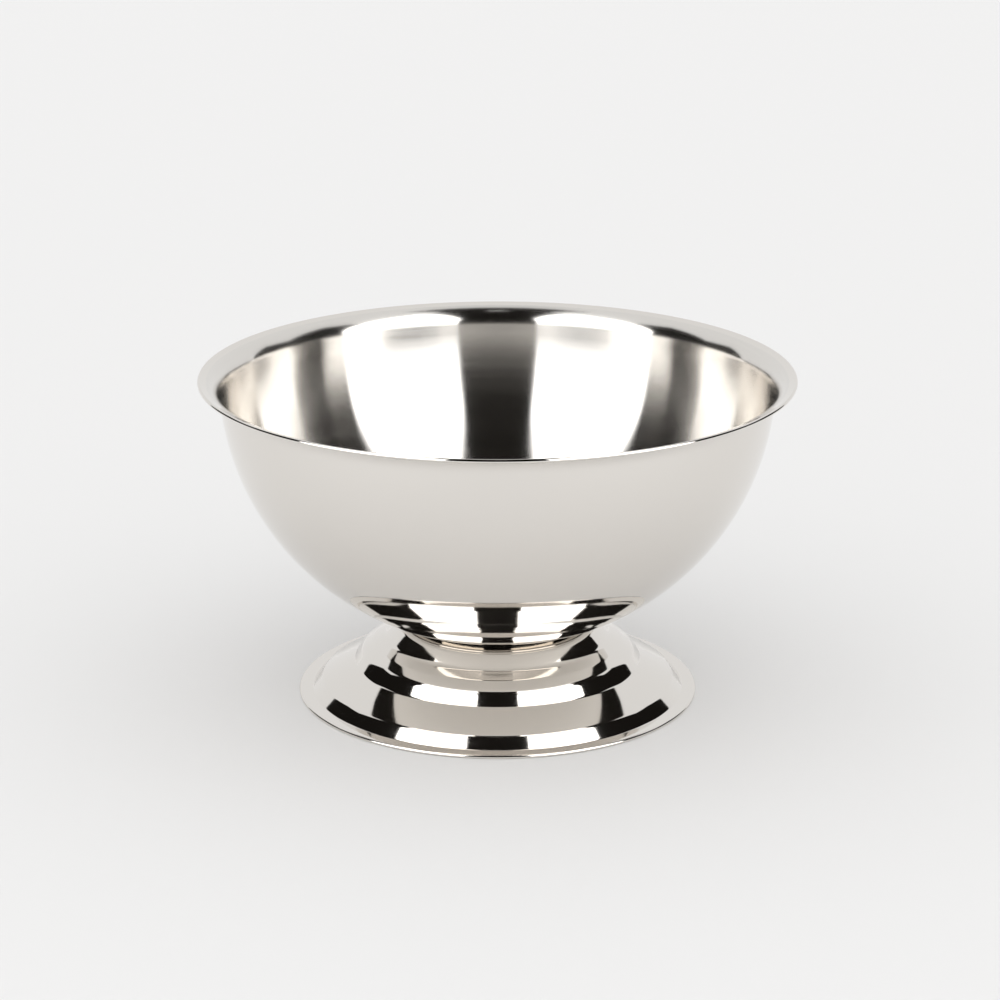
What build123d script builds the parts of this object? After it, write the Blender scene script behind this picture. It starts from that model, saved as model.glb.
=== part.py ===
from build123d import *
import os
from math import acos, asin, atan2, cos, degrees, radians, sin, sqrt

# Footed punch bowl, pressed and spun from stainless sheet, in millimetres.
# Origin: centre of the circle that the foot stands on. +Z is up, the axis of turning.

# Overall
RIM_RADIUS = 192.5
FOOT_RADIUS = 130.8
SHEET = 0.8
HEM = 2.4                # thickness of a folded edge, top face to bottom face
HEM_BEND = HEM / 2 - 0.02

# Bowl: half an ellipsoid with an out-turned flange
BODY_RADIUS = 178.9
BODY_DEPTH = 175.5
BODY_CENTRE_Z = 214.6
FLANGE_SLOPE = 20.0      # degrees, rising outwards
FLANGE_BEND = 12.0       # radius under the bend
WALL_DROP = 18.0         # from the ellipsoid's centre down to the top of the plain wall
RIM_RETURN = 4.5         # width of the folded-under edge

# Foot: outer corners (radius, height) with the bend radius at each, from the neck down
RING_INNER_RADIUS = 42.0
RING_OUTER_RADIUS = 56.0
NECK_CORNER_RADIUS = 57.9
NECK_BEND = 3.2
FOOT_CORNERS = [
    ((65.1, 47.3), 8.0),
    ((73.7, 38.0), 9.0),
    ((81.5, 33.8), 5.8),
    ((88.8, 28.9), 10.0),
    ((94.0, 20.8), 2.8),
    ((115.1, 9.5), 4.4),
    ((121.9, HEM), 0.8),
]
FOOT_RETURN = 7.0        # width of the folded-under edge that the bowl stands on

# Spot welds that hold the foot's top ring to the bowl
WELD_COUNT = 8
WELD_RADIUS = 2.5
WELD_CIRCLE_RADIUS = 49.0


def body_point(radius):
    """Point of the bowl's outside at a radius."""
    drop = BODY_DEPTH * sqrt(1 - (radius / BODY_RADIUS) ** 2)
    return (radius, BODY_CENTRE_Z - drop)


def body_slope(radius):
    """Slope of the bowl's outside at a radius, in degrees above level."""
    share = radius / BODY_RADIUS
    return degrees(atan2(BODY_DEPTH * share, BODY_RADIUS * sqrt(1 - share**2)))


def step(point, angle, length):
    """Point at a length from another, at an angle in degrees above level."""
    return (point[0] + length * cos(radians(angle)), point[1] + length * sin(radians(angle)))


def offset_corners(corners, distance):
    """Corners of the line that runs beside a line of corners, distance to its right."""
    headings = [atan2(b[1] - a[1], b[0] - a[0]) for a, b in zip(corners, corners[1:])]
    moved = [step(corners[0], degrees(headings[0]) - 90, distance)]
    for corner, before, after in zip(corners[1:], headings, headings[1:]):
        half_turn = (after - before) / 2
        middle = degrees(before + half_turn)
        moved.append(step(corner, middle - 90, distance / cos(half_turn)))
    moved.append(step(corners[-1], degrees(headings[-1]) - 90, distance))
    return moved


def offset_radii(corners, radii, distance):
    """Bend radii beside a line of corners: less inside a turn, more outside it."""
    result = []
    for before, corner, after, radius in zip(corners, corners[1:], corners[2:], radii):
        cross = (corner[0] - before[0]) * (after[1] - corner[1])
        cross -= (corner[1] - before[1]) * (after[0] - corner[0])
        result.append(radius - distance if cross < 0 else radius + distance)
    return result


def rim_corners(start, heading):
    """Corners of the flange's upper face and hem, from the top of the bowl's wall."""
    bend = step(start, heading, FLANGE_BEND + SHEET)
    slope = radians(FLANGE_SLOPE)
    hem_overhang = HEM / 2 * (1 - cos(slope) + sin(slope))
    reach = (RIM_RADIUS - hem_overhang - bend[0]) / cos(slope)
    edge = step(bend, FLANGE_SLOPE, reach)
    under = step(edge, FLANGE_SLOPE - 90, HEM)
    end = step(under, FLANGE_SLOPE + 180, RIM_RETURN)
    return [start, bend, edge, under, end]


def make_bowl():
    """Shell of the bowl: elliptic wall, flange and folded-under edge."""
    radii = [FLANGE_BEND + SHEET, HEM_BEND, HEM_BEND]
    wall_turn = 90 - degrees(asin(WALL_DROP / BODY_DEPTH))
    with BuildSketch(Plane.XZ) as section:
        with BuildLine():
            centre = (0, BODY_CENTRE_Z)
            outside = EllipticalCenterArc(centre, BODY_RADIUS, BODY_DEPTH, -90, arc_size=wall_turn)
            inside = EllipticalCenterArc(
                centre, BODY_RADIUS - SHEET, BODY_DEPTH - SHEET, -90, arc_size=wall_turn
            )
            tangent = inside % 1
            heading = degrees(atan2(tangent.Y, tangent.X))
            upper = rim_corners(((inside @ 1).X, (inside @ 1).Y), heading)
            lower = offset_corners(upper, SHEET)
            lower[0] = ((outside @ 1).X, (outside @ 1).Y)
            FilletPolyline(*upper, radius=radii)
            FilletPolyline(*lower, radius=offset_radii(upper, radii, SHEET))
            Line(upper[-1], lower[-1])
            Line(inside @ 0, outside @ 0)
        make_face()
    return revolve(section.sketch, axis=Axis.Z)


def foot_corners():
    """Corners of the foot's upper face, from the weld ring to the folded-under edge."""
    start = body_point(RING_OUTER_RADIUS)
    slope = body_slope(RING_OUTER_RADIUS)
    reach = (NECK_CORNER_RADIUS - RING_OUTER_RADIUS) / cos(radians(slope))
    corners = [start, step(start, slope, reach)]
    corners += [corner for corner, _ in FOOT_CORNERS]
    corners += [(FOOT_RADIUS, HEM), (FOOT_RADIUS, 0), (FOOT_RADIUS - FOOT_RETURN, 0)]
    return corners


def ring_under(radius):
    """Point of the weld ring's underside, one sheet below the bowl's outside."""
    return step(body_point(radius), body_slope(radius) - 90, SHEET)


def make_foot():
    """Shell of the foot: weld ring, stepped skirt and folded-under edge."""
    upper = foot_corners()
    radii = [NECK_BEND] + [radius for _, radius in FOOT_CORNERS] + [HEM_BEND, HEM_BEND]
    lower = offset_corners(upper, SHEET)
    ring_middle = (RING_INNER_RADIUS + RING_OUTER_RADIUS) / 2
    with BuildSketch(Plane.XZ) as section:
        with BuildLine():
            ring_start = -degrees(acos(RING_INNER_RADIUS / BODY_RADIUS))
            ring_turn = -degrees(acos(RING_OUTER_RADIUS / BODY_RADIUS)) - ring_start
            ring_top = EllipticalCenterArc(
                (0, BODY_CENTRE_Z), BODY_RADIUS, BODY_DEPTH, ring_start, arc_size=ring_turn
            )
            ThreePointArc(ring_under(RING_INNER_RADIUS), ring_under(ring_middle), lower[0])
            FilletPolyline(*upper, radius=radii)
            FilletPolyline(*lower, radius=offset_radii(upper, radii, SHEET))
            Line(upper[-1], lower[-1])
            Line(ring_top @ 0, ring_under(RING_INNER_RADIUS))
        make_face()
    return revolve(section.sketch, axis=Axis.Z)


def weld_pegs():
    """Round pegs through the weld ring, square to it, evenly spaced round the circle."""
    spot = body_point(WELD_CIRCLE_RADIUS)
    peg = Cylinder(WELD_RADIUS, 4 * SHEET)
    peg = Pos(spot[0], 0, spot[1]) * Rot(0, -body_slope(WELD_CIRCLE_RADIUS), 0) * peg
    return [Rot(0, 0, 360 * index / WELD_COUNT) * peg for index in range(WELD_COUNT)]


def main():
    """Write one STEP file for each node."""
    foot_blank = make_foot()
    pegs = weld_pegs()
    foot = foot_blank
    for peg in pegs:
        foot = foot - peg
    nodes = {
        "bowl": make_bowl(),
        "foot": foot,
        "spot_welds": Compound(children=[(foot_blank & peg).solid() for peg in pegs]),
    }
    os.makedirs("parts", exist_ok=True)
    for name, shape in nodes.items():
        shape.label = name
        export_step(shape, f"parts/{name}.step")
        print(name, len(shape.solids()), round(shape.volume), shape.bounding_box())


main()
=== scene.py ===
"""A spun steel punch bowl on a stepped foot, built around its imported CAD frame.

Run as a script, it registers its classes, calls each operator in turn and leaves the finished
scene in place.  All sizes are in metres, +Z is up and the bowl is a body of turning about Z.
"""

import math

import bpy
import numpy as np
from bpy.props import FloatProperty, FloatVectorProperty, IntProperty, PointerProperty
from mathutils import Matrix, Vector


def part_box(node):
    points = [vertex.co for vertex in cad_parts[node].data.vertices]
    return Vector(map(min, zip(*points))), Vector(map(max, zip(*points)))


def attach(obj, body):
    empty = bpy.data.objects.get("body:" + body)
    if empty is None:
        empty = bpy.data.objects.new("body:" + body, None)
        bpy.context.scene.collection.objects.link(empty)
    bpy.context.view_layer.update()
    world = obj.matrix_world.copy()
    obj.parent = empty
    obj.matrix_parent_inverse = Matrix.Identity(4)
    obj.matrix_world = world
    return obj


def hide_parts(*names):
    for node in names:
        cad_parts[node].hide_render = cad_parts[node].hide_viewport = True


bl_info = {
    "name": "Footed Punch Bowl",
    "version": (1, 0, 0),
    "blender": (4, 5, 0),
    "location": "3D View > Sidebar > Punch Bowl",
    "description": "Builds a spun steel punch bowl on a stepped foot, with a small studio",
    "category": "Add Mesh",
}

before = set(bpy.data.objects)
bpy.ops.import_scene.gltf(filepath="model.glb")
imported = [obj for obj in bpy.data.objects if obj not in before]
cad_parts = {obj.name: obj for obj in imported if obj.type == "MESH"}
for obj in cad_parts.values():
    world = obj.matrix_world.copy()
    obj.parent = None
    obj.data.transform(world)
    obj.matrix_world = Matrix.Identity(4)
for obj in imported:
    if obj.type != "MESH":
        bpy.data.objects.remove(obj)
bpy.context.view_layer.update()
BODY = "root"
MM = 0.001
RIM_RADIUS = (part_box("bowl")[1][0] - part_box("bowl")[0][0]) / 2
RIM_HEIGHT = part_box("bowl")[1][2]
BOWL_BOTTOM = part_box("bowl")[0][2]
FOOT_RADIUS = (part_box("foot")[1][0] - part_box("foot")[0][0]) / 2

# Fineness of the meshes
SEGMENTS = 256
WALL_POINTS = 130
RING_POINTS = 12
PLUG_SEGMENTS = 24
BOWL_SPACING = 1.2 * MM
FOOT_TOP_SPACING = 0.7 * MM
FOOT_UNDER_SPACING = 0.9 * MM
PATCH_STRIPS = 33
SHARP_ANGLE = math.radians(50)

# Lights and cards round the bowl: azimuths off the camera and rises are in degrees, distances in
# metres, and a spread is how much further out an edge lies for each degree of rise
PANEL_EDGE = 70
PANEL_SPREAD = 0.2
PANEL_TOP = 75
PANEL_DISTANCE = 1.5
SIDE_START = 66
SIDE_EDGE = 102
SIDE_SPREAD = 0.25
SIDE_TOP = 56
SIDE_DISTANCE = 1.6
LOW_START = 100
LOW_EDGE = 129
LOW_TOP = 34
LOW_DISTANCE = 1.62
SLOT_TOP = 88
SLOT_DISTANCE = 1.45
BEHIND_START = 68
BEHIND_HALF_WIDTH = math.radians(9)
PANEL_ROWS = 45
CARD_ROWS = 33

# Half a hem's thickness less this is its bend radius, which leaves a short flat between the bends
HEM_FLAT = 0.02 * MM

# Radius, height and bend radius of each corner down the foot, in millimetres
FOOT_STEPS = np.array(
    [
        (65.1, 47.3, 8.0),
        (73.7, 38.0, 9.0),
        (81.5, 33.8, 5.8),
        (88.8, 28.9, 10.0),
        (94.0, 20.8, 2.8),
        (115.1, 9.5, 4.4),
        (121.9, 2.4, 0.8),
    ]
)

# Outline of a spot weld from its centre below to its centre above, as shares of the weld's
# radius and of the sheet: a shallow dish in a raised lip below, flat above
WELD_OUTLINE = np.array(
    [(0, -0.86), (0.7, -1.06), (0.9, -1.12), (1, -0.92), (1, -0.02), (0.98, 0), (0, 0)]
)


# Properties


class PunchBowlSizes(bpy.types.PropertyGroup):
    """Sizes of the sheet metal pieces."""

    sheet: FloatProperty(
        name="Sheet", description="Thickness of the steel sheet", default=0.8 * MM, unit="LENGTH"
    )
    hem: FloatProperty(
        name="Hem", description="Thickness of a folded edge", default=2.4 * MM, unit="LENGTH"
    )
    body_radius: FloatProperty(
        name="Body radius",
        description="Outer radius of the bowl's wall at its widest",
        default=178.9 * MM,
        unit="LENGTH",
    )
    body_depth: FloatProperty(
        name="Body depth",
        description="Upright half axis of the bowl's ellipsoid",
        default=175.5 * MM,
        unit="LENGTH",
    )
    wall_drop: FloatProperty(
        name="Wall drop",
        description="From the ellipsoid's centre down to the top of the plain wall",
        default=18 * MM,
        unit="LENGTH",
    )
    flange_slope: FloatProperty(
        name="Flange slope",
        description="Rise of the flange towards its edge",
        default=math.radians(20),
        subtype="ANGLE",
    )
    flange_bend: FloatProperty(
        name="Flange bend",
        description="Radius under the bend between wall and flange",
        default=12 * MM,
        unit="LENGTH",
    )
    rim_return: FloatProperty(
        name="Rim return", description="Width of the rim's folded strip", default=4.5 * MM, unit="LENGTH"
    )
    foot_return: FloatProperty(
        name="Foot return", description="Width of the foot's folded strip", default=7 * MM, unit="LENGTH"
    )
    ring_inner: FloatProperty(
        name="Ring bore", description="Inner radius of the weld ring", default=42 * MM, unit="LENGTH"
    )
    ring_outer: FloatProperty(
        name="Ring edge",
        description="Radius where the weld ring leaves the bowl",
        default=56 * MM,
        unit="LENGTH",
    )
    neck_corner: FloatProperty(
        name="Neck corner",
        description="Radius of the neck's upper corner",
        default=57.9 * MM,
        unit="LENGTH",
    )
    neck_bend: FloatProperty(
        name="Neck bend", description="Radius of the bend at that corner", default=3.2 * MM, unit="LENGTH"
    )
    weld_radius: FloatProperty(
        name="Weld radius", description="Radius of a spot weld", default=2.5 * MM, unit="LENGTH"
    )
    weld_circle: FloatProperty(
        name="Weld circle", description="Radius of the circle of welds", default=49 * MM, unit="LENGTH"
    )
    weld_count: IntProperty(name="Welds", description="Number of spot welds", default=8, min=3)


class PunchBowlFinish(bpy.types.PropertyGroup):
    """Colours and roughness of the steel."""

    polished: FloatVectorProperty(
        name="Polished steel",
        description="Reflected colour of the mirror-polished steel",
        subtype="COLOR",
        default=(0.78, 0.75, 0.71),
    )
    polished_roughness: FloatProperty(
        name="Polish", description="Roughness of the mirror polish", default=0.055, min=0, max=1
    )
    satin: FloatVectorProperty(
        name="Satin steel",
        description="Reflected colour of the spun satin steel",
        subtype="COLOR",
        default=(0.76, 0.735, 0.70),
    )
    satin_roughness: FloatProperty(
        name="Satin", description="Roughness of the spun satin finish", default=0.15, min=0, max=1
    )
    weld: FloatVectorProperty(
        name="Weld", description="Colour of a spot weld", subtype="COLOR", default=(0.42, 0.38, 0.33)
    )


class PunchBowlStudio(bpy.types.PropertyGroup):
    """Camera, light and floor."""

    lens: FloatProperty(name="Lens", description="Focal length in millimetres", default=119.4, min=20)
    camera_distance: FloatProperty(
        name="Camera distance",
        description="Level distance from the bowl's axis",
        default=2.0586,
        unit="LENGTH",
    )
    camera_rise: FloatProperty(
        name="Camera rise", description="Height of the camera over the rim", default=0.562, unit="LENGTH"
    )
    camera_side: FloatProperty(
        name="Camera side", description="Camera's place to the right", default=1.6 * MM, unit="LENGTH"
    )
    camera_tilt: FloatProperty(
        name="Camera tilt", description="Tilt below level", default=math.radians(17.452), subtype="ANGLE"
    )
    floor: FloatVectorProperty(
        name="Floor", description="Colour of the floor", subtype="COLOR", default=(0.8, 0.8, 0.8)
    )
    floor_half: FloatProperty(
        name="Floor size", description="Half width of the floor", default=12, unit="LENGTH"
    )
    room: FloatVectorProperty(
        name="Room", description="Light of the pale room", subtype="COLOR", default=(0.98, 0.98, 0.98)
    )
    room_strength: FloatProperty(name="Room light", description="Strength of the room", default=0.88)
    room_on_floor: FloatProperty(
        name="Room on floor",
        description="Share of the room light that falls on matt surfaces",
        default=0.25,
    )
    ceiling: FloatVectorProperty(
        name="Ceiling light",
        description="Light of the ceiling, which only the floor takes up",
        subtype="COLOR",
        default=(1.0, 0.995, 0.99),
    )
    ceiling_strength: FloatProperty(
        name="Ceiling strength", description="Strength of the ceiling light", default=2.75
    )
    ceiling_angle: FloatProperty(
        name="Ceiling angle",
        description="Spread of the ceiling light",
        default=math.radians(150),
        subtype="ANGLE",
    )
    slot_azimuth: FloatProperty(
        name="Slot azimuth",
        description="Least half width of the dark gap between the panels",
        default=math.radians(17.8),
        subtype="ANGLE",
    )
    slot_side: FloatProperty(
        name="Slot side",
        description="Angle from the upright plane to the gap's edge high up",
        default=math.radians(13.2),
        subtype="ANGLE",
    )
    panel_strength: FloatProperty(
        name="Panel light", description="Strength of the two light panels", default=2.8
    )


# Outlines: arrays of (radius, height) points


def headings(corners):
    """Direction of each straight run between corners, in radians above level."""
    runs = np.diff(corners, axis=0)
    return np.arctan2(runs[:, 1], runs[:, 0])


def turns(corners):
    """Turn at each inner corner, in radians, positive to the left."""
    return (np.diff(headings(corners)) + np.pi) % (2 * np.pi) - np.pi


def beside(corners, distance):
    """Corners of the outline a distance to the right of another.

    Each corner moves along the bisector of its turn by distance / cos(half the turn), so every
    straight run moves square to itself by just the distance.
    """
    way = headings(corners)
    half = turns(corners) / 2
    middle = np.concatenate([way[:1], way[:-1] + half, way[-1:]])
    reach = distance / np.cos(np.concatenate([[0], half, [0]]))
    return corners + reach[:, None] * np.column_stack([np.sin(middle), -np.cos(middle)])


def bent(corners, radii, spacing):
    """Straight runs joined by tangent arcs, as points no further apart than the spacing.

    The arc at a corner starts radius * tan(half the turn) before it, and its centre lies one
    radius to the side that the outline turns to.
    """
    way = headings(corners)
    start = corners[0]
    parts = []
    for corner, before, turn, radius in zip(corners[1:-1], way, turns(corners), radii):
        along = np.array([math.cos(before), math.sin(before)])
        left = np.array([-along[1], along[0]])
        side = math.copysign(1, turn)
        arc_start = corner - along * radius * math.tan(abs(turn) / 2)
        centre = arc_start + left * side * radius
        steps = max(int(abs(turn) * radius / spacing), math.ceil(math.degrees(abs(turn)) / 6))
        angle = before - side * math.pi / 2 + turn * np.linspace(0, 1, steps + 1)
        parts.append(straight(start, arc_start, spacing))
        parts.append((centre + radius * np.column_stack([np.cos(angle), np.sin(angle)]))[:-1])
        start = centre + radius * np.array([math.cos(angle[-1]), math.sin(angle[-1])])
    parts.append(straight(start, corners[-1], spacing))
    return np.vstack(parts + [corners[-1:]])


def straight(start, end, spacing):
    """Evenly spaced points from start up to, but not including, end."""
    steps = max(1, math.ceil(math.dist(start, end) / spacing))
    share = np.linspace(0, 1, steps + 1)[:-1, None]
    return start + (np.asarray(end) - start) * share


def inner_radii(corners, radii, distance):
    """Bend radii of the outline beside another: larger where it turns left, smaller to the right."""
    return radii + distance * np.sign(turns(corners))


def ellipse(radius, depth, centre, low, high, count):
    """Points of an upright ellipse: radius * cos(t), centre + depth * sin(t), for t low to high."""
    t = np.linspace(low, high, count)
    return np.column_stack([radius * np.cos(t), centre + depth * np.sin(t)])


def body_slope(size, radius):
    """Slope of the bowl's outside at a radius, from the ellipse's derivative."""
    share = radius / size.body_radius
    return math.atan2(size.body_depth * share, size.body_radius * math.sqrt(1 - share**2))


def body_height(size, radius):
    """Height of the bowl's outside at a radius."""
    centre = BOWL_BOTTOM + size.body_depth
    return centre - size.body_depth * math.sqrt(1 - (radius / size.body_radius) ** 2)


def step(point, angle, length):
    """Point at a length from another, at an angle above level."""
    return np.array([point[0] + length * math.cos(angle), point[1] + length * math.sin(angle)])


def turned_about(axis, angle):
    """Matrices that turn points about Z, or tilt them down about Y, by one angle or an array."""
    c, s = np.cos(angle), np.sin(angle)
    zero, one = np.zeros_like(c), np.ones_like(c)
    rows = [[c, -s, zero], [s, c, zero], [zero, zero, one]]
    if axis == "Y":
        rows = [[c, zero, -s], [zero, one, zero], [s, zero, c]]
    return np.moveaxis(np.array(rows), (0, 1), (-2, -1))


# Meshes


def lathe(name, outline, bands, segments):
    """A surface of turning: (r cos a, r sin a, z) for each outline point and each of the angles.

    A point on the axis becomes one vertex, shared by a fan of triangles.  bands gives the
    material index of each strip between outline points.  The map's U is the angle as a share of
    a turn and its V is the length along the outline.
    """
    closed = not (outline[0, 0] < 1e-9 and outline[-1, 0] < 1e-9)
    if closed:
        outline = np.vstack([outline, outline[:1]])
    rows = len(outline) - (1 if closed else 0)
    angle = np.arange(segments) * 2 * np.pi / segments
    radius, height = outline[:rows, 0], outline[:rows, 1]
    ring = np.stack(
        [
            radius[:, None] * np.cos(angle),
            radius[:, None] * np.sin(angle),
            np.repeat(height[:, None], segments, axis=1),
        ],
        axis=2,
    )
    number = np.arange(rows * segments).reshape(rows, segments)
    pole = radius < 1e-9
    number[pole] = number[pole][:, :1]
    if closed:
        number = np.vstack([number, number[:1]])
    following = np.roll(number, -1, axis=1)
    quads = np.stack([number[:-1], following[:-1], following[1:], number[1:]], axis=2)
    along = np.concatenate([[0], np.cumsum(np.hypot(*np.diff(outline, axis=0).T))])
    u = np.arange(segments + 1) / segments
    uv = np.empty((len(outline) - 1, segments, 4, 2))
    uv[..., 0, 0] = uv[..., 3, 0] = u[:-1]
    uv[..., 1, 0] = uv[..., 2, 0] = u[1:]
    uv[..., 0, 1] = uv[..., 1, 1] = along[:-1, None]
    uv[..., 2, 1] = uv[..., 3, 1] = along[1:, None]
    quads, uv = quads.reshape(-1, 4), uv.reshape(-1, 4, 2)
    material = np.repeat(np.asarray(bands), segments)
    keep = np.ones(quads.shape, dtype=bool)
    keep[:, 1] = quads[:, 1] != quads[:, 0]
    keep[:, 3] = quads[:, 3] != quads[:, 2]
    return fill_mesh(name, ring.reshape(-1, 3), quads, keep, uv, material)


def fill_mesh(name, points, quads, keep, uv, material):
    """A mesh from corner numbers, with the corners that keep marks false left out."""
    used, numbers = np.unique(quads[keep], return_inverse=True)
    sizes = keep.sum(axis=1)
    mesh = raw_mesh(name, points[used], numbers, np.concatenate([[0], np.cumsum(sizes)[:-1]]))
    mesh.polygons.foreach_set("material_index", material)
    layer = mesh.uv_layers.new(name="turning")
    layer.uv.foreach_set("vector", uv[keep].ravel())
    return finished(mesh)


def raw_mesh(name, points, corners, starts):
    """A mesh of points, the faces' corner numbers, and where each face's corners start."""
    mesh = bpy.data.meshes.new(name)
    mesh.vertices.add(points.size // 3)
    mesh.vertices.foreach_set("co", points.ravel())
    mesh.loops.add(corners.size)
    mesh.loops.foreach_set("vertex_index", corners.ravel())
    mesh.polygons.add(starts.size)
    mesh.polygons.foreach_set("loop_start", starts.ravel())
    return mesh


def finished(mesh):
    """The mesh with its edges worked out and its shading smooth, apart from sharp corners."""
    mesh.update(calc_edges=True)
    mesh.validate()
    mesh.shade_smooth()
    mesh.set_sharp_from_angle(angle=SHARP_ANGLE)
    return mesh


def place(mesh, materials, slot, *nodes):
    """Puts a finished mesh in the scene for its CAD nodes, riding on the one body."""
    piece = bpy.data.objects.new(mesh.name, mesh)
    bpy.context.scene.collection.objects.link(piece)
    for material in materials:
        mesh.materials.append(material)
    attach(piece, BODY)
    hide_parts(*nodes)
    return piece


# Materials


class Nodes:
    """Short calls for adding nodes to one material and joining them."""

    def __init__(self, name):
        self.material = bpy.data.materials.new(name)
        self.material.use_nodes = True
        self.tree = self.material.node_tree
        self.shader = self.tree.nodes["Principled BSDF"]

    def add(self, kind, **settings):
        node = self.tree.nodes.new(kind)
        for key, value in settings.items():
            setattr(node, key, value)
        return node

    def join(self, source, target):
        self.tree.links.new(source, target)

    def math(self, operation, first, second):
        node = self.add("ShaderNodeMath", operation=operation)
        for socket, value in zip(node.inputs, (first, second)):
            if isinstance(value, (int, float)):
                socket.default_value = value
            else:
                self.join(value, socket)
        return node.outputs[0]

    def noise(self, vector, scale, detail, roughness=0.5):
        node = self.add("ShaderNodeTexNoise")
        node.inputs["Scale"].default_value = scale
        node.inputs["Detail"].default_value = detail
        node.inputs["Roughness"].default_value = roughness
        self.join(vector, node.inputs["Vector"])
        return node.outputs["Fac"]

    def spread(self, value, low, high):
        """Maps a 0 to 1 value onto low to high."""
        node = self.add("ShaderNodeMapRange")
        node.inputs["To Min"].default_value = low
        node.inputs["To Max"].default_value = high
        self.join(value, node.inputs["Value"])
        return node.outputs["Result"]


def turning_vector(nodes, around, along):
    """Position on the lathe: (cos a, sin a) * around, and the length along the outline * along.

    Noise read at this vector runs in long lines round the axis and has no seam.
    """
    place_node = nodes.add("ShaderNodeTexCoord")
    split = nodes.add("ShaderNodeSeparateXYZ")
    nodes.join(place_node.outputs["UV"], split.inputs[0])
    angle = nodes.math("MULTIPLY", split.outputs["X"], 2 * math.pi)
    merge = nodes.add("ShaderNodeCombineXYZ")
    cosine = nodes.math("COSINE", angle, 0.0)
    sine = nodes.math("SINE", angle, 0.0)
    nodes.join(nodes.math("MULTIPLY", cosine, around), merge.inputs[0])
    nodes.join(nodes.math("MULTIPLY", sine, around), merge.inputs[1])
    nodes.join(nodes.math("MULTIPLY", split.outputs["Y"], along), merge.inputs[2])
    return merge.outputs[0]


def bump(nodes, height, distance, strength=1.0):
    """Bump of a 0 to 1 height, as deep as the distance."""
    node = nodes.add("ShaderNodeBump")
    node.inputs["Strength"].default_value = strength
    node.inputs["Distance"].default_value = distance
    nodes.join(height, node.inputs["Height"])
    nodes.join(node.outputs[0], nodes.shader.inputs["Normal"])


def mirror_finish(finish):
    """Mirror-polished steel with the faint rings that spinning leaves."""
    nodes = Nodes("mirror_finish")
    shader = nodes.shader
    shader.inputs["Base Color"].default_value = (*finish.polished, 1)
    shader.inputs["Metallic"].default_value = 1
    rings = nodes.noise(turning_vector(nodes, 0.6, 220), 1, 2)
    haze = nodes.noise(turning_vector(nodes, 3, 900), 1, 3)
    low, high = finish.polished_roughness * 0.6, finish.polished_roughness * 1.6
    nodes.join(nodes.spread(haze, low, high), shader.inputs["Roughness"])
    bump(nodes, rings, 0.004 * MM)
    return nodes.material


def satin_finish(finish):
    """Satin steel with fine lines round the axis, which draw reflections out along the wall."""
    nodes = Nodes("satin_finish")
    shader = nodes.shader
    shader.inputs["Metallic"].default_value = 1
    shader.inputs["Anisotropic"].default_value = 1
    tangent = nodes.add("ShaderNodeTangent", direction_type="RADIAL", axis="Z")
    nodes.join(tangent.outputs[0], shader.inputs["Tangent"])
    shader.inputs["Anisotropic Rotation"].default_value = 0.25
    lines = nodes.noise(turning_vector(nodes, 2.5, 2600), 1, 4, 0.7)
    broad = nodes.noise(turning_vector(nodes, 1.2, 60), 1, 2)
    tint = nodes.add("ShaderNodeMix", data_type="RGBA")
    tint.inputs["A"].default_value = (*(0.93 * c for c in finish.satin), 1)
    tint.inputs["B"].default_value = (*(1.05 * c for c in finish.satin), 1)
    nodes.join(lines, tint.inputs["Factor"])
    nodes.join(tint.outputs["Result"], shader.inputs["Base Color"])
    rough = nodes.math("ADD", nodes.spread(lines, -0.05, 0.05), nodes.spread(broad, -0.03, 0.03))
    nodes.join(nodes.math("ADD", rough, finish.satin_roughness), shader.inputs["Roughness"])
    bump(nodes, lines, 0.002 * MM)
    return nodes.material


def weld_finish(finish):
    """Dull fused steel, slightly uneven and heat-tinted."""
    nodes = Nodes("weld_finish")
    shader = nodes.shader
    shader.inputs["Metallic"].default_value = 1
    where = nodes.add("ShaderNodeTexCoord").outputs["Object"]
    mottle = nodes.noise(where, 700, 4, 0.6)
    tint = nodes.add("ShaderNodeMix", data_type="RGBA")
    tint.inputs["A"].default_value = (*(0.7 * c for c in finish.weld), 1)
    tint.inputs["B"].default_value = (*(1.3 * c for c in finish.weld), 1)
    nodes.join(mottle, tint.inputs["Factor"])
    nodes.join(tint.outputs["Result"], shader.inputs["Base Color"])
    nodes.join(nodes.spread(mottle, 0.3, 0.55), shader.inputs["Roughness"])
    bump(nodes, mottle, 0.02 * MM)
    return nodes.material


def material(name, maker):
    """The named material, made on first use."""
    return bpy.data.materials.get(name) or maker(bpy.context.scene.punch_bowl_finish)


def steels():
    """The two finishes of the sheet pieces, in the order that a lathe's bands count them."""
    return [material("mirror_finish", mirror_finish), material("satin_finish", satin_finish)]


# Operators


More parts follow.
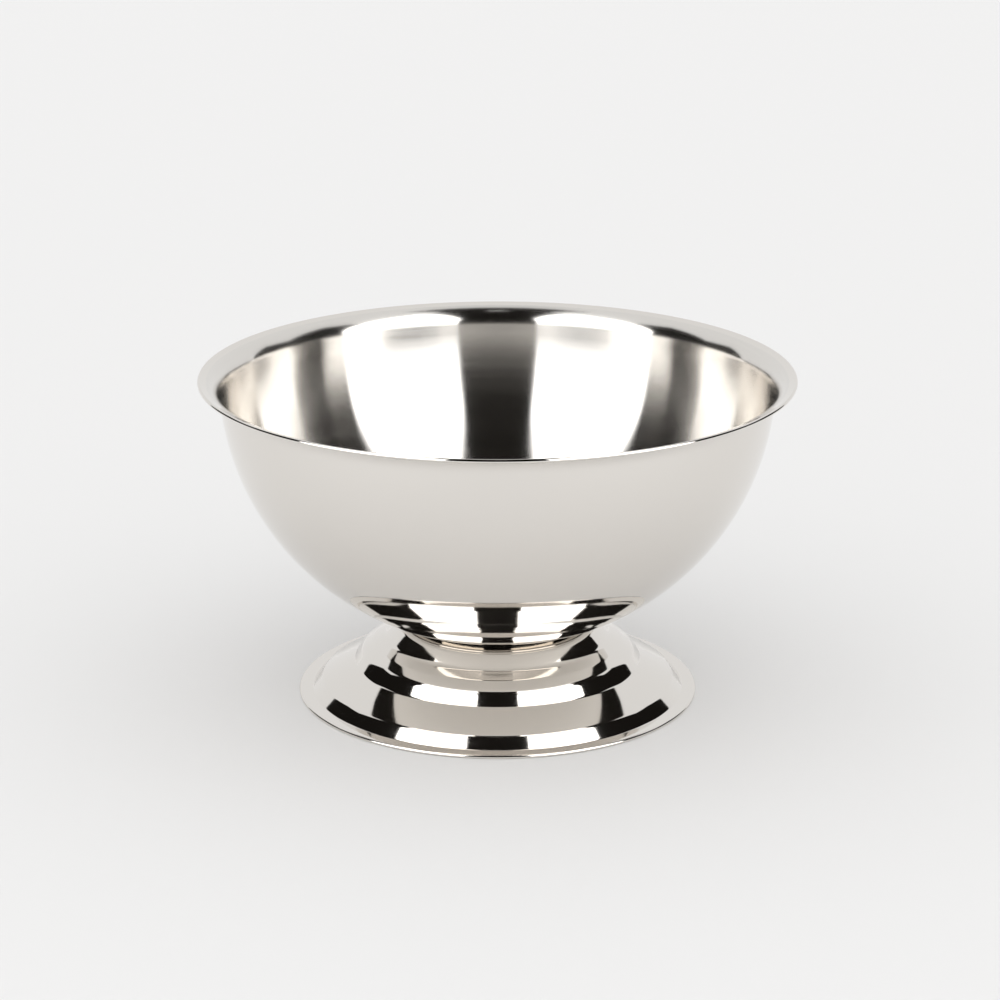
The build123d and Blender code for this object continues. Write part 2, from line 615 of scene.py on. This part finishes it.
class PUNCHBOWL_OT_bowl(bpy.types.Operator):
    """Builds the bowl: an elliptic wall, a bend out to a sloping flange and a folded-under edge"""

    bl_idname = "punchbowl.bowl"
    bl_label = "Bowl"

    # The polish ends this many hem thicknesses in from the flange's edge
    polished_hems = 2.5

    def execute(self, context):
        size = context.scene.punch_bowl_sizes
        centre = BOWL_BOTTOM + size.body_depth
        top = -math.asin(size.wall_drop / size.body_depth)
        outside = ellipse(size.body_radius, size.body_depth, centre, -math.pi / 2, top, WALL_POINTS)
        inner_radius, inner_depth = size.body_radius - size.sheet, size.body_depth - size.sheet
        inside = ellipse(inner_radius, inner_depth, centre, -math.pi / 2, top, WALL_POINTS)
        outside[0, 0] = inside[0, 0] = 0
        upper = self.rim_corners(size, inside)
        hem_bend = size.hem / 2 - HEM_FLAT
        radii = np.array([size.flange_bend + size.sheet, hem_bend, hem_bend])
        lower = beside(upper, size.sheet)
        lower[0] = outside[-1]
        top_face = bent(upper, radii, BOWL_SPACING)
        under_face = bent(lower, inner_radii(upper, radii, size.sheet), BOWL_SPACING)
        outline = np.vstack([outside[:-1], under_face, top_face[::-1], inside[-2::-1]])
        turn_over = math.hypot(*(top_face[0] - upper[1])) + math.hypot(*(upper[2] - upper[1]))
        walked = np.concatenate([[0], np.cumsum(np.hypot(*np.diff(top_face, axis=0).T))])
        hem_points = int((walked > turn_over - size.hem * self.polished_hems).sum())
        polished_strips = len(outside) - 1 + len(under_face) + hem_points
        bands = (np.arange(len(outline) - 1) >= polished_strips).astype(int)
        mesh = lathe("bowl_shell", outline, bands, SEGMENTS)
        place(mesh, steels(), "bowl_steel", "bowl")
        return {"FINISHED"}

    def rim_corners(self, size, inside):
        """Corners of the flange's upper face and hem, from the top of the inner wall."""
        start = inside[-1]
        heading = headings(inside[-2:])[0]
        bend = step(start, heading, size.flange_bend + size.sheet)
        slope = size.flange_slope
        overhang = size.hem / 2 * (1 - math.cos(slope) + math.sin(slope))
        reach = (RIM_RADIUS - overhang - bend[0]) / math.cos(slope)
        edge = step(bend, slope, reach)
        under = step(edge, slope - math.pi / 2, size.hem)
        end = step(under, slope + math.pi, size.rim_return)
        return np.array([start, bend, edge, under, end])


class PUNCHBOWL_OT_foot(bpy.types.Operator):
    """Builds the foot: a dished weld ring, a neck, three rounded steps and a folded-under edge"""

    bl_idname = "punchbowl.foot"
    bl_label = "Foot"

    # Strips at the upper end of the top face that are satin like the underside, next to the bowl
    hidden_strips = 8

    def execute(self, context):
        size = context.scene.punch_bowl_sizes
        upper, radii = self.skirt(size)
        lower = beside(upper, size.sheet)
        top_face = bent(upper, radii, FOOT_TOP_SPACING)
        under_face = bent(lower, inner_radii(upper, radii, size.sheet), FOOT_UNDER_SPACING)
        across = np.linspace(size.ring_inner, size.ring_outer, RING_POINTS)[:-1]
        ring_top = np.array([[r, body_height(size, r)] for r in across])
        ring_low = np.array([step(p, body_slope(size, p[0]) - math.pi / 2, size.sheet) for p in ring_top])
        outline = np.vstack([under_face[::-1], ring_low[::-1], ring_top, top_face])[::-1]
        bands = (np.arange(len(outline)) >= len(top_face) - self.hidden_strips).astype(int)
        mesh = lathe("foot_shell", outline, bands, SEGMENTS)
        place(mesh, steels(), "polished_steel", "foot")
        return {"FINISHED"}

    def skirt(self, size):
        """Corners of the foot's upper face and the bend radius at each inner one."""
        start = np.array([size.ring_outer, body_height(size, size.ring_outer)])
        slope = body_slope(size, size.ring_outer)
        neck = step(start, slope, (size.neck_corner - size.ring_outer) / math.cos(slope))
        steps = FOOT_STEPS * MM
        fold = [
            (FOOT_RADIUS, size.hem),
            (FOOT_RADIUS, 0),
            (FOOT_RADIUS - size.foot_return, 0),
        ]
        corners = np.vstack([start, neck, steps[:, :2], fold])
        hem_bend = size.hem / 2 - HEM_FLAT
        return corners, np.concatenate([[size.neck_bend], steps[:, 2], [hem_bend, hem_bend]])


class PUNCHBOWL_OT_welds(bpy.types.Operator):
    """Builds the spot welds: shallow dished plugs through the weld ring"""

    bl_idname = "punchbowl.welds"
    bl_label = "Spot welds"

    def execute(self, context):
        size = context.scene.punch_bowl_sizes
        slope = body_slope(size, size.weld_circle)
        seat = np.array([size.weld_circle, 0, body_height(size, size.weld_circle)])
        outline = WELD_OUTLINE * [size.weld_radius, size.sheet]
        plug = lathe("plug", outline, [0] * (len(outline) - 1), PLUG_SEGMENTS)
        points = np.empty(len(plug.vertices) * 3)
        plug.vertices.foreach_get("co", points)
        points = points.reshape(-1, 3) @ turned_about("Y", slope).T + seat
        corners = np.empty(len(plug.loops), dtype=int)
        plug.loops.foreach_get("vertex_index", corners)
        starts = np.empty(len(plug.polygons), dtype=int)
        plug.polygons.foreach_get("loop_start", starts)
        bpy.data.meshes.remove(plug)
        count = np.arange(size.weld_count)
        spin = turned_about("Z", 2 * np.pi * count / size.weld_count)
        all_points = np.einsum("vj,cij->cvi", points, spin)
        all_corners = corners + len(points) * count[:, None]
        all_starts = starts + len(corners) * count[:, None]
        mesh = finished(raw_mesh("spot_weld_plugs", all_points, all_corners, all_starts))
        place(mesh, [material("weld_finish", weld_finish)], "weld_steel", "spot_welds")
        return {"FINISHED"}


class PUNCHBOWL_OT_stage(bpy.types.Operator):
    """Sets up the camera, the pale floor, the room light, two light panels and the dark cards"""

    bl_idname = "punchbowl.stage"
    bl_label = "Stage"

    def execute(self, context):
        studio = context.scene.punch_bowl_studio
        self.camera(context, studio)
        self.floor(studio)
        self.room(context, studio)
        self.ceiling(context, studio)
        white = glow("panel_light", (1, 1, 1), studio.panel_strength)
        black = glow("dark_card", (0.009, 0.008, 0.007), 1)
        gap = (studio.slot_azimuth, studio.slot_side)
        for side, word in ((-1, "left"), (1, "right")):
            rise = np.linspace(0, PANEL_TOP, PANEL_ROWS)
            inner, outer = slot_half_width(rise, *gap), PANEL_EDGE + PANEL_SPREAD * rise
            patch(f"light_panel_{word}", white, side * inner, side * outer, rise, PANEL_DISTANCE)
            rise = np.linspace(0, SIDE_TOP, CARD_ROWS)
            outer = SIDE_EDGE + SIDE_SPREAD * rise
            patch(f"dark_side_{word}", black, side * SIDE_START, side * outer, rise, SIDE_DISTANCE)
            rise = np.linspace(0, LOW_TOP, CARD_ROWS)
            patch(f"dark_low_{word}", black, side * LOW_START, side * LOW_EDGE, rise, LOW_DISTANCE)
        rise = np.linspace(0, SLOT_TOP, PANEL_ROWS)
        half = slot_half_width(rise, *gap)
        patch("dark_slot", black, -half, half, rise, SLOT_DISTANCE)
        rise = np.linspace(BEHIND_START, SLOT_TOP, CARD_ROWS)
        half = slot_half_width(rise, BEHIND_HALF_WIDTH, BEHIND_HALF_WIDTH)
        patch("dark_slot_behind", black, 180 - half, 180 + half, rise, SLOT_DISTANCE)
        context.scene.view_settings.view_transform = "Standard"
        return {"FINISHED"}

    def camera(self, context, studio):
        """A long lens in front of the bowl, looking slightly down."""
        camera = bpy.data.cameras.new("camera")
        camera.lens = studio.lens
        camera.sensor_width = 36
        holder = bpy.data.objects.new("camera", camera)
        holder.location = (studio.camera_side, -studio.camera_distance, RIM_HEIGHT + studio.camera_rise)
        holder.rotation_euler = (math.pi / 2 - studio.camera_tilt, 0, 0)
        context.scene.collection.objects.link(holder)
        context.scene.camera = holder

    def floor(self, studio):
        """A wide matt floor at the level of the foot."""
        floor = matt("floor", studio.floor)
        half = studio.floor_half
        mesh = bpy.data.meshes.new("floor")
        corners = [(-half, -half, 0), (half, -half, 0), (half, half, 0), (-half, half, 0)]
        mesh.from_pydata(corners, [], [(0, 1, 2, 3)])
        mesh.materials.append(floor)
        stand(mesh)

    def room(self, context, studio):
        """A pale, even room, dimmer on matt surfaces than in the steel's reflections."""
        world = bpy.data.worlds.new("room")
        world.use_nodes = True
        tree = world.node_tree
        background = tree.nodes["Background"]
        background.inputs["Color"].default_value = (*studio.room, 1)
        path = tree.nodes.new("ShaderNodeLightPath")
        strength = tree.nodes.new("ShaderNodeMapRange")
        strength.inputs["To Min"].default_value = studio.room_strength
        strength.inputs["To Max"].default_value = studio.room_strength * studio.room_on_floor
        tree.links.new(path.outputs["Is Diffuse Ray"], strength.inputs["Value"])
        tree.links.new(strength.outputs["Result"], background.inputs["Strength"])
        world.cycles.sampling_method = "NONE"
        context.scene.world = world

    def ceiling(self, context, studio):
        """A wide, even sheet of light overhead that shows neither in the picture nor in the steel."""
        lamp = bpy.data.lights.new("ceiling", "SUN")
        lamp.energy = studio.ceiling_strength
        lamp.angle = studio.ceiling_angle
        lamp.color = studio.ceiling
        holder = bpy.data.objects.new("ceiling", lamp)
        holder.location = (0, 0, 3)
        holder.visible_glossy = False
        holder.visible_camera = False
        context.scene.collection.objects.link(holder)


def stand(mesh):
    """Puts a mesh in the scene as part of the stage."""
    thing = bpy.data.objects.new(mesh.name, mesh)
    bpy.context.scene.collection.objects.link(thing)
    return thing


def matt(name, colour):
    """A plain matt surface."""
    nodes = Nodes(name)
    nodes.shader.inputs["Base Color"].default_value = (*colour, 1)
    nodes.shader.inputs["Roughness"].default_value = 0.9
    return nodes.material


def glow(name, colour, strength):
    """A surface that gives out even light."""
    nodes = Nodes(name)
    lamp = nodes.add("ShaderNodeEmission")
    lamp.inputs["Color"].default_value = (*colour, 1)
    lamp.inputs["Strength"].default_value = strength
    nodes.join(lamp.outputs[0], nodes.tree.nodes["Material Output"].inputs["Surface"])
    return nodes.material


def slot_half_width(rise, azimuth, side):
    """Half width in degrees of azimuth of the gap between the light panels, for an array of rises.

    It is even low down; above, the gap keeps an even angle to the side of the upright plane
    through the camera: asin(sin(side) / cos(rise)).
    """
    across = np.minimum(math.sin(side) / np.cos(np.radians(rise)), 1)
    return np.degrees(np.maximum(azimuth, np.arcsin(across)))


def patch(name, surface, from_azimuth, to_azimuth, rise, distance):
    """A patch of a sphere round the bowl, between two azimuths off the camera at each rise.

    Azimuth a and rise e give (sin a cos e, -cos a cos e, sin e) times the distance.  The azimuths
    are single values or one for each rise, all in degrees.
    """
    start = np.broadcast_to(from_azimuth, rise.shape)[:, None]
    end = np.broadcast_to(to_azimuth, rise.shape)[:, None]
    a = np.radians(start + (end - start) * np.linspace(0, 1, PATCH_STRIPS))
    e = np.radians(np.repeat(rise[:, None], PATCH_STRIPS, axis=1))
    points = distance * np.stack([np.sin(a) * np.cos(e), -np.cos(a) * np.cos(e), np.sin(e)], axis=2)
    number = np.arange(a.size).reshape(a.shape)
    quads = np.stack([number[:-1, :-1], number[:-1, 1:], number[1:, 1:], number[1:, :-1]], axis=2)
    mesh = bpy.data.meshes.new(name)
    mesh.from_pydata(points.reshape(-1, 3).tolist(), [], quads.reshape(-1, 4).tolist())
    mesh.materials.append(surface)
    thing = stand(mesh)
    thing.visible_camera = False
    thing.visible_diffuse = False
    thing.visible_shadow = False
    return thing


class PUNCHBOWL_PT_panel(bpy.types.Panel):
    """Sizes, finish and studio of the punch bowl, and a button for each piece."""

    bl_idname = "PUNCHBOWL_PT_panel"
    bl_label = "Punch Bowl"
    bl_space_type = "VIEW_3D"
    bl_region_type = "UI"
    bl_category = "Punch Bowl"

    def draw(self, context):
        scene = context.scene
        for group in (scene.punch_bowl_sizes, scene.punch_bowl_finish, scene.punch_bowl_studio):
            box = self.layout.box()
            for name in group.__annotations__:
                box.prop(group, name)
        for operator in OPERATORS:
            self.layout.operator(operator.bl_idname)


OPERATORS = (PUNCHBOWL_OT_bowl, PUNCHBOWL_OT_foot, PUNCHBOWL_OT_welds, PUNCHBOWL_OT_stage)
CLASSES = (PunchBowlSizes, PunchBowlFinish, PunchBowlStudio, *OPERATORS, PUNCHBOWL_PT_panel)


def register():
    """Registers the classes and hangs the property groups on the scene."""
    for cls in CLASSES:
        bpy.utils.register_class(cls)
    bpy.types.Scene.punch_bowl_sizes = PointerProperty(type=PunchBowlSizes)
    bpy.types.Scene.punch_bowl_finish = PointerProperty(type=PunchBowlFinish)
    bpy.types.Scene.punch_bowl_studio = PointerProperty(type=PunchBowlStudio)


def unregister():
    """Takes the property groups off the scene and unregisters the classes."""
    del bpy.types.Scene.punch_bowl_studio
    del bpy.types.Scene.punch_bowl_finish
    del bpy.types.Scene.punch_bowl_sizes
    for cls in reversed(CLASSES):
        bpy.utils.unregister_class(cls)


def main():
    """Builds every piece and the stage."""
    register()
    bpy.ops.punchbowl.bowl()
    bpy.ops.punchbowl.foot()
    bpy.ops.punchbowl.welds()
    bpy.ops.punchbowl.stage()


if __name__ == "__main__":
    main()
